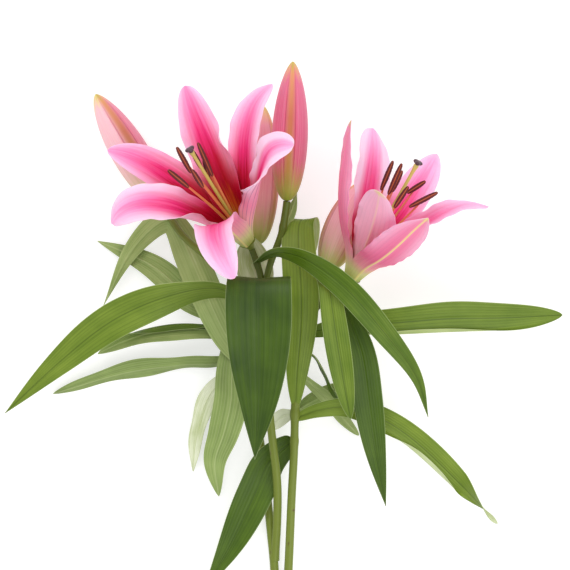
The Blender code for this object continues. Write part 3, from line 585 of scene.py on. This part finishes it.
# the blooms: where the tepals meet, the way the bloom opens, the style's length, and the tepals by their bearing
# round that axis, their angle from it at even steps, the drift of the bearing and the roll; then how far the crimson
# reaches, how pale the margins are, how rosy, ribbed and veined the outer face is, and any curls, as for leaves;
# last, both ends of each anther
innerTepal = {"length": 118.0, "halfWidth": 17.2, "footRadius": 4.5, "footHalfWidth": 2.6, "tipPower": 0.5,
              "cup": 0.35, "tipBow": -0.3, "ruffle": 0.06, "pale": 0.6, "rose": 0.3, "ribbed": 0.25, "veined": 0.12,
              "flush": 0.0, "curls": ()}
outerTepal = {"length": 122.0, "halfWidth": 14.2, "footRadius": 6.0, "footHalfWidth": 2.8, "tipPower": 0.6,
              "cup": 0.35, "tipBow": -0.3, "ruffle": 0.05, "pale": 0.6, "rose": 0.6, "ribbed": 0.8, "veined": 0.15,
              "flush": 0.0, "curls": ()}
blooms = {
    "left": {
        "base": (-28.6, 33.1, 40), "axis": (-0.42, 0.68, 0.6), "style": 95,
        "tepals": {
            "top": {
                **innerTepal, "length": 123, "bearing": 164, "angles": [18, 31, 33, 30, 35], "drift": -3, "roll": 6,
                "halfWidth": 16.2, "tipPower": 0.55, "ruffle": 0.1, "flush": 0.12, "pale": 0.7,
                "curls": [(1, 0.62, 0.06, 0.4, 0.4, 90)]},
            "back": {
                **outerTepal, "bearing": 125, "angles": [18, 34, 35, 49, 98], "drift": -10, "roll": -8,
                "pale": 0.8},
            "right": {
                **innerTepal, "bearing": 64, "length": 115, "footHalfWidth": 7, "angles": [18, 36, 32, 42, 110],
                "drift": -7, "roll": -18, "flush": 0.02, "pale": 1.8, "rose": 0.5, "veined": 0.5,
                "curls": [(1, 0.34, 0.22, 0.95, 0.6, 115)]},
            "front": {
                **outerTepal, "bearing": -21, "angles": [18, 25, 56, 106, 129], "drift": 8, "roll": 8,
                "flush": -0.06, "pale": 0.8, "ruffle": 0.16, "footHalfWidth": 9,
                "curls": [(1, 0.2, 0.08, 0.6, 0.4, -70)]},
            "low": {
                **innerTepal, "bearing": -102, "angles": [18, 26, 36, 67, 136], "drift": -1, "roll": 22,
                "flush": -0.03, "pale": 1.0, "curls": [(-1, 0.3, 0.18, 0.5, 0.25, 140)]},
            "side": {
                **outerTepal, "bearing": -152, "angles": [18, 37, 36, 39, 56], "drift": 14, "roll": 17,
                "flush": 0.13, "pale": 0.5},
        },
        "anthers": [antherEnds, ((-84, 82.5, 108), (-69, 70, 102)),
                    ((-64, 104.5, 78), (-53, 79.5, 76)), ((-69, 100, 72), (-61, 85, 72)),
                    ((-67, 83, 104), (-59, 70, 100)), ((-60, 94, 66), (-56, 79, 68))],
    },
    "right": {
        "base": (51.1, 6.0, 42), "axis": (0.44, 0.80, 0.41), "style": 104,
        "tepals": {
            "front": {
                **outerTepal, "bearing": 16, "angles": [18, 49, 38, 30, 38], "drift": 1, "roll": 2,
                "halfWidth": 14.8, "footHalfWidth": 8, "tipPower": 0.9, "ruffle": 0.02, "rose": 0.9, "pale": 0.5,
                "veined": 0.08},
            "near": {
                **innerTepal, "length": 114, "halfWidth": 16.3, "bearing": -10, "angles": [18, 28, 36, 40, 44],
                "drift": -3, "roll": 4, "footHalfWidth": 7, "tipPower": 0.6, "tipBow": 0.3, "rose": 0.1,
                "pale": 0.3, "veined": 0.07},
            "side": {
                **outerTepal, "length": 125, "bearing": -73, "angles": [18, 40, 27, 17, 15], "drift": -5,
                "roll": -14, "cup": 0.6, "footHalfWidth": 6, "tipPower": 0.9, "ruffle": 0.01, "rose": 0.8,
                "ribbed": 0.15, "pale": 0.3},
            "back": {
                **innerTepal, "bearing": -145, "angles": [18, 31, 39, 46, 72], "drift": -4, "roll": -8,
                "flush": -0.03, "pale": 1.6},
            "top": {
                **outerTepal, "bearing": 168, "angles": [18, 40, 47, 50, 56], "drift": 4, "roll": -4,
                "flush": -0.06, "pale": 0.6},
            "right": {
                **innerTepal, "bearing": 110, "angles": [18, 20, 27, 40, 89], "drift": 2, "roll": 11,
                "flush": -0.10, "tipPower": 0.75, "pale": 0.5},
        },
        "anthers": [((80, 92, 64), (71, 70, 62)), ((85.5, 89, 80), (75.5, 66, 78)),
                    ((105, 77.5, 52), (91, 68.5, 52)), ((113, 68.5, 66), (91.5, 57.5, 66)),
                    ((90, 72, 84), (79.5, 56, 84)), ((88, 86, 44), (80, 69.5, 46))],
    },
}
tepalShape = {"rows": 120, "columns": 49, "widest": 0.6, "footPower": 0.75, "tip": 0.3, "thickness": 0.7,
              "groove": 0.5, "ridge": 0.9, "ruffleCount": 3.5, "frill": 0.5, "frillCount": 9.0,
              "bends": 12, "rollFrom": 0.15, "rollOver": 0.6, "cupFrom": 0.35, "cupOver": 0.35, "bowFrom": 0.7,
              "bowOver": 0.3, "ribWidth": 1.6}


def bloomFrame(bloom):
    # the base, the axis, and the two directions that bearings are measured between
    axis = unit(np.array(blooms[bloom]["axis"], float))
    upward = squareTo(axis, skyward)
    return np.array(blooms[bloom]["base"], float), axis, upward, np.cross(axis, upward)


def makeTepal(bloom, name, number):
    # the midrib runs out at its angle from the bloom's axis, and each section is an arc whose half angle follows the
    # throat's roundness, then the cup, then the bow at the tip; the margins carry a slow ruffle and a finer frill
    tepal, shape = blooms[bloom]["tepals"][name], tepalShape
    base, axis, upward, leftward = bloomFrame(bloom)
    rows = shape["rows"]
    u = np.linspace(0, 1, rows)
    coarse = np.linspace(0, 1, shape["bends"] + 1)
    angle = np.radians(np.interp(coarse, np.linspace(0, 1, len(tepal["angles"])), tepal["angles"]))
    step = tepal["length"] / shape["bends"]
    forward = np.concatenate([[0], np.cumsum((np.cos(angle[1:]) + np.cos(angle[:-1])) / 2 * step)])
    outward = np.concatenate([[0], np.cumsum((np.sin(angle[1:]) + np.sin(angle[:-1])) / 2 * step)])
    profile = smoothRoute(np.column_stack([forward, outward + tepal["footRadius"], angle]), rows)
    forward, outward, angle = profile.T
    turn = np.radians(tepal["bearing"] + tepal["drift"] * u ** 2)
    radial = np.outer(np.cos(turn), upward) + np.outer(np.sin(turn), leftward)
    spine = base + np.outer(forward, axis) + radial * outward[:, None]
    along = unit(np.gradient(spine, axis=0))
    inward = squareTo(along, np.outer(np.sin(angle), axis) - radial * np.cos(angle)[:, None])
    sideways = np.cross(along, inward)
    rolled = np.radians(tepal["roll"] * np.clip((u - shape["rollFrom"]) / shape["rollOver"], 0, 1))[:, None]
    sideways, inward = (sideways * np.cos(rolled) + inward * np.sin(rolled),
                        inward * np.cos(rolled) - sideways * np.sin(rolled))
    v = gridAcross(shape["columns"])
    widest = shape["widest"]
    outline = np.where(u < widest, spindle(u, widest, shape["footPower"]),
                       spindle(u, widest, tepal["tipPower"] * widest / (1 - widest)))
    width = tepal["halfWidth"] * outline + tepal["footHalfWidth"] * (1 - u) ** 4 + shape["tip"] * u ** 6
    blendIn = np.clip((u - shape["cupFrom"]) / shape["cupOver"], 0, 1)
    arc = np.where(u < shape["bowFrom"], width / outward * (1 - blendIn) + tepal["cup"] * blendIn,
                   tepal["cup"] + (tepal["tipBow"] - tepal["cup"]) * (u - shape["bowFrom"]) / shape["bowOver"])
    tilt = arc[:, None] * v + curled(u, v, tepal["curls"])
    ruffle = tepal["halfWidth"] * tepal["ruffle"] * np.abs(v) ** 3 * np.sin(
        math.tau * shape["ruffleCount"] * u[:, None] + 2 * v)
    frill = shape["frill"] * np.abs(v) ** 6 * np.sin(
        math.tau * shape["frillCount"] * u[:, None] + 2.1 * number + 1.9 * np.sign(v))
    rise = (ruffle + frill) * np.minimum(1, 4 * u * (1 - u))[:, None]
    centre = blade(spine, sideways, inward, v, width, tilt, rise)
    middle = np.abs(width[:, None] * v)
    fading = np.clip(width / 6, 0, 1) * np.clip((1 - u) / 0.3, 0, 1)
    rib = np.exp(-(middle / shape["ribWidth"]) ** 2) * fading[:, None]
    thickness = shape["thickness"] * (1 - 0.6 * np.abs(v) ** 3) * np.ones_like(middle)
    values = {"across": v, "along": u[:, None], "middle": middle, "tone": 0.1 * number,
              **{key: tepal[key] for key in ("flush", "pale", "rose", "ribbed", "veined")}}
    sheetPiece(f"tepal_{bloom}_{name}", centre, thickness, shape["groove"] * rib, shape["ridge"] * rib, values,
               tepalMaterial, "tepal pink", False)


for bloom in blooms:
    for number, name in enumerate(blooms[bloom]["tepals"]):
        makeTepal(bloom, name, number)
print("tepals made")

# the buds: foot, tip, radius, the turn of its ribs in degrees, how pale it is, and how much painted shade darkens its
# far side to a deeper pink
buds = {
    "bud_upright": ((1.5, 62.5, 52), (5.9, 166, 60), 13.0, 0, 0.05, 0.0),
    "bud_outer": ((-94, 62, 21), (-146, 147, 7.2), 14.3, 18, 0.95, 0.7),
    "bud_behind": ((-21, 31, 13), (-17, 138, 13), 14.2, 60, 0.55, 0.0),
    "bud_right": ((32, 12, 14), (61, 80, 13.5), 15, 45, 0.8, 0.3),
}
budShape = {"rows": 110, "sides": 120, "widest": 0.45, "footPower": 0.45, "tipPower": 0.66, "ridge": 0.05,
            "lip": 0.03, "seam": 0.05, "seamPlace": 0.3,
            "seamWidth": 0.035, "lipGap": 0.09, "lipWidth": 0.06, "crowding": 0.1}


def makeBud(name):
    # radius = spindle * (1 + three ridges - a sharp seam at either side of each rib where the outer tepals meet it)
    foot, tip, radius, turn, tone, shadeDepth = buds[name]
    shape = budShape
    u = np.linspace(0, 1, shape["rows"])
    u = u - shape["crowding"] / math.pi * np.sin(math.tau * u)   # rows lie closer together at both ends
    foot, tip = np.array(foot, float), np.array(tip, float)
    spine = foot + (tip - foot) * u[:, None]
    angle = turnSteps(shape["sides"])
    third = math.tau / 3
    offset = (angle - math.radians(turn) + third / 2) % third - third / 2
    rib = np.abs(offset) / (third / 2)
    seam = np.exp(-((rib - shape["seamPlace"]) / shape["seamWidth"]) ** 2)
    lip = np.exp(-((rib - shape["seamPlace"] - shape["lipGap"]) / shape["lipWidth"]) ** 2)
    swell = np.clip(np.sin(math.pi * u), 0, 1)[:, None] ** 0.5
    around = 1 + shape["ridge"] * np.cos(3 * offset) + swell * (shape["lip"] * lip - shape["seam"] * seam)
    widest = shape["widest"]
    outline = np.where(u < widest, spindle(u, widest, shape["footPower"]),
                       spindle(u, widest, shape["tipPower"] * widest / (1 - widest)))
    reach = np.maximum(radius * outline[:, None] * around, 0.02)
    points, faces = tubeParts(spine, reach)
    points[:, 2] = np.maximum(points[:, 2], 0.0)
    # painted shade: the side of each bud at 80 degrees round from its top is painted a deeper, darker pink
    paintedShade = shadeDepth * np.clip(1.6 * np.cos(angle - math.radians(80)), 0, 1)
    values = tubeValues(reach.shape, {"rib": rib, "seam": seam * swell, "along": u[:, None], "tone": tone - paintedShade})
    finishMesh(name + "_skin", points, faces, values, budMaterial, [name], "bud pink")


for name in buds:
    makeBud(name)
print("buds made:", len(buds))

# stamens and pistils
organShape = {"filament": 1.05, "root": 4, "bend": 4, "style": 1.3, "styleFoot": 8, "styleRise": 1.5, "ovary": 2.4,
              "ovaryLength": 15, "stigma": 3.3, "stigmaHeight": 3.6, "stigmaLobe": 0.22}
antherShape = {"rows": 50, "sides": 28, "radius": 1.8, "lobe": 0.28, "seam": 0.35, "lump": 0.05, "bow": 0.6,
               "groove": 0.17}


def joinParts(parts):
    # several closed tubes in one mesh, with their values one after the other
    points, faces, values, first = [], [], {}, 0
    for partPoints, partFaces, partValues in parts:
        points.append(partPoints)
        faces += [[corner + first for corner in face] for face in partFaces]
        for key, value in partValues.items():
            values.setdefault(key, []).append(value)
        first += len(partPoints)
    return np.vstack(points), faces, {key: np.concatenate(value) for key, value in values.items()}


def taperedTube(route, lower, upper, rows=40, sides=16, bulge=0.0):
    # radius = straight taper + bulge * exp(-((u - 1) / 0.05)^2) at the upper end, with both ends drawn in
    spine = smoothRoute(route, rows)
    u = np.linspace(0, 1, rows)[:, None]
    radius = (lower + (upper - lower) * u + bulge * np.exp(-((u - 1) / 0.05) ** 2)) * np.ones((rows, sides))
    radius[[0, -1]] *= 0.6
    points, faces = tubeParts(spine, radius)
    return points, faces, tubeValues(radius.shape, {"along": u})


def makeAnther(name, lower, upper, above):
    # radius * spindle * (1 + two lobes - a sharp seam below + lumps of pollen, which are drawn coarser than life)
    shape = antherShape
    u = np.linspace(0, 1, shape["rows"])[:, None]
    angle = turnSteps(shape["sides"])
    lobes = 1 + shape["lobe"] * (np.abs(np.sin(angle)) - 0.6) - shape["seam"] * np.exp(
        -((angle - math.pi) / 0.35) ** 2)
    lumps = shape["lump"] * np.sin(7 * angle + 40 * u) * np.sin(90 * u + 2 * angle)
    radius = np.maximum(shape["radius"] * spindle(u, 0.5, 0.35) * (lobes + lumps), 0.03)
    spine = lower + (upper - lower) * u + shape["bow"] * np.sin(math.pi * u) * above
    points, faces = tubeParts(spine, radius, above)
    groove = sum(np.exp(-((angle - middle) / shape["groove"]) ** 2) for middle in (0, math.tau))
    finishMesh(name + "_pollen", points, faces, tubeValues(radius.shape, {"along": groove}), antherMaterial, [name],
               "anther")


def makeStamens(bloom):
    # six anthers, each seated on a filament that bends up to it from the receptacle
    base, axis, _, _ = bloomFrame(bloom)
    thickness = organShape["filament"]
    filaments = []
    for number, ends in enumerate(blooms[bloom]["anthers"], 1):
        upper, lower = np.array(ends, float)
        along = unit(upper - lower)
        above = squareTo(along, skyward)
        root = base + axis * organShape["root"]
        seat = (lower + upper) / 2 - above * antherShape["radius"] * 0.8
        bend = (root + seat) / 2 + axis * organShape["bend"]
        filaments.append(taperedTube([root, bend, seat], thickness * 1.3, thickness * 0.6))
        makeAnther(f"anther_{bloom}_{number}", lower, upper, above)
    finishMesh(f"filaments_{bloom}", *joinParts(filaments), filamentMaterial, [], "style and filament")


def makePistil(bloom):
    # the ovary and the style that bows up a little on its way to the stigma
    base, axis, _, _ = bloomFrame(bloom)
    shape = organShape
    stigma = base + axis * blooms[bloom]["style"]
    bow = base + axis * blooms[bloom]["style"] / 2 + skyward * shape["styleRise"]
    parts = [taperedTube([base, base + axis * shape["ovaryLength"]], shape["ovary"], shape["style"], 24, 24),
             taperedTube([base + axis * shape["styleFoot"], bow, stigma - axis], shape["style"] * 0.9, shape["style"],
                         60, 20, 0.8)]
    finishMesh(f"style_{bloom}", *joinParts(parts), styleMaterial, [f"heart_{bloom}"], "style and filament")
    # the stigma: a flattened knob with three lobes, radius * sqrt(1 - (2 u - 1)^2) * (1 + lobe * cos 3 angle)
    u = np.linspace(0, 1, 30)[:, None]
    angle = turnSteps(48)
    radius = shape["stigma"] * np.sqrt(np.clip(1 - (2 * u - 1) ** 2, 0, 1)) * (
        1 + shape["stigmaLobe"] * np.cos(3 * angle))
    points, faces = tubeParts(stigma + axis * (u - 0.5) * shape["stigmaHeight"], np.maximum(radius, 0.03))
    finishMesh(f"stigma_{bloom}", points, faces, tubeValues(radius.shape, {"along": u}), stigmaMaterial,
               [], "anther")


for bloom in blooms:
    makeStamens(bloom)
    makePistil(bloom)
print("stamens and pistils made")

# the stem's skin
stemShape = {"sides": 32, "step": 1.5, "node": 0.45, "nodeLength": 3.0, "flute": 0.015, "flutes": 5, "flare": 0.5,
             "flareLength": 6, "scarReach": 1.4, "scarEdge": 1.5}
scars = [(0, -156), (7, -172), (-7, -192), (2, -198), (-10, -206), (-14, -163), (-12, -128)]   # seen from above


def makeBranch(name):
    # radius = straight taper + a swelling at each leaf's foot + a flare where the branch leaves its parent
    route, lower, upper, tone = branches[name]
    shape = stemShape
    length = sum(math.dist(start, end) for start, end in zip(route, route[1:]))
    rows = max(12, round(length / shape["step"]))
    spine = smoothRoute(route, rows)
    distance = np.linspace(0, length, rows)
    radius = lower + (upper - lower) * distance / length
    for leaf in leaves.values():
        if leaf["branch"] == name:
            gap = np.linalg.norm(spine - np.array(leaf["route"][0], float), axis=1)
            radius += shape["node"] * np.exp(-((distance - distance[np.argmin(gap)]) / shape["nodeLength"]) ** 2)
    if name != "main":
        radius += shape["flare"] * np.exp(-distance / shape["flareLength"])
    angle = turnSteps(shape["sides"])
    around = radius[:, None] * (1 + shape["flute"] * np.cos(shape["flutes"] * angle + 0.01 * distance[:, None]))
    points, faces = tubeParts(spine, around)
    scar = np.zeros(len(points))
    for place in scars:
        gap = np.linalg.norm((points[:, :2] - np.array(place)) * (1, 1.4), axis=1)
        mark = np.clip(shape["scarReach"] - gap / shape["scarEdge"], 0, 1)
        scar = np.maximum(scar, mark * (points[:, 2] > np.median(points[:, 2]) * 0.9))
    values = tubeValues(around.shape, {"turn": angle, "along": distance[:, None], "tone": tone})
    values["scar"] = scar
    return points, faces, values


receptacleShape = {"rows": 24, "sides": 36, "neck": 2.4, "swell": 4.4, "length": 8}


def makeReceptacle(bloom):
    # the swollen end of the pedicel that carries the tepals: radius = neck + swell * u^1.6
    base, axis, _, _ = bloomFrame(bloom)
    shape = receptacleShape
    u = np.linspace(0, 1, shape["rows"])[:, None]
    radius = (shape["neck"] + shape["swell"] * u ** 1.6) * np.ones((shape["rows"], shape["sides"]))
    radius[-1] *= 0.3
    points, faces = tubeParts(base - axis * 0.3 - axis * shape["length"] * (1 - u), radius)
    return points, faces, tubeValues(radius.shape, {"turn": 1.0, "along": u, "tone": 1.1, "scar": 0.0})


stemParts = [makeBranch(name) for name in branches] + [makeReceptacle(bloom) for bloom in blooms]
finishMesh("stem_skin", *joinParts(stemParts), stemMaterial, ["stem"], "stem green")
print("stem made")


# floor, lights and the camera that looks down on the lily
stageSetting = {"reach": 4, "drop": 0.0003, "board": "bebebd", "roughness": 0.9, "glow": 0.62, "sky": 0.7}


def makeStage():
    # a white board lit softly from behind as well, as on a light table, so that the shadows on it stay faint
    setting = stageSetting
    corners = [(x * setting["reach"], y * setting["reach"], 0) for x, y in ((-1, -1), (1, -1), (1, 1), (-1, 1))]
    mesh = bpy.data.meshes.new("floor")
    mesh.from_pydata(corners, [], [(0, 1, 2, 3)])
    floor = bpy.data.objects.new("floor", mesh)
    scene.collection.objects.link(floor)
    floor.location.z = -setting["drop"]
    material, _, shader = newMaterial("white acrylic light table")
    for key, value in {"Base Color": colour(setting["board"]), "Roughness": setting["roughness"],
                       "Emission Color": colour("ffffff"), "Emission Strength": setting["glow"]}.items():
        shader.inputs[key].default_value = value
    mesh.materials.append(material)
    world = bpy.data.worlds.new("studio")
    world.use_nodes = True
    background = world.node_tree.nodes["Background"].inputs
    background["Color"].default_value = colour("ffffff")
    background["Strength"].default_value = setting["sky"]
    scene.world = world


lightAim = (0, 0.05, 0.05)
softboxes = {
    "key": {"place": (-0.55, 1.15, 1.75), "size": 1.5, "power": 17.0},
    "fill": {"place": (0.9, -0.7, 1.5), "size": 1.6, "power": 15.0},
}


def makeLights():
    # two softboxes turned to the middle of the lily
    for name, box in softboxes.items():
        light = bpy.data.lights.new(name, "AREA")
        light.size = box["size"]
        light.energy = box["power"]
        lamp = bpy.data.objects.new(name, light)
        lamp.location = box["place"]
        scene.collection.objects.link(lamp)
        x, y, z = np.subtract(lightAim, box["place"])
        lamp.rotation_euler = (math.atan2(math.hypot(x, y), -z), 0, math.atan2(y, x) - math.pi / 2)


cameraSetting = {"height": 1.445, "lens": 117.9, "sensor": 36.0}


def makeCamera():
    lens = bpy.data.cameras.new("camera")
    lens.lens = cameraSetting["lens"]
    lens.sensor_width = cameraSetting["sensor"]
    camera = bpy.data.objects.new("camera", lens)
    camera.location = (*frameShift[:2] * millimetre, cameraSetting["height"])
    scene.collection.objects.link(camera)
    scene.camera = camera


makeStage()
makeLights()
makeCamera()
print("stage, lights and camera made")
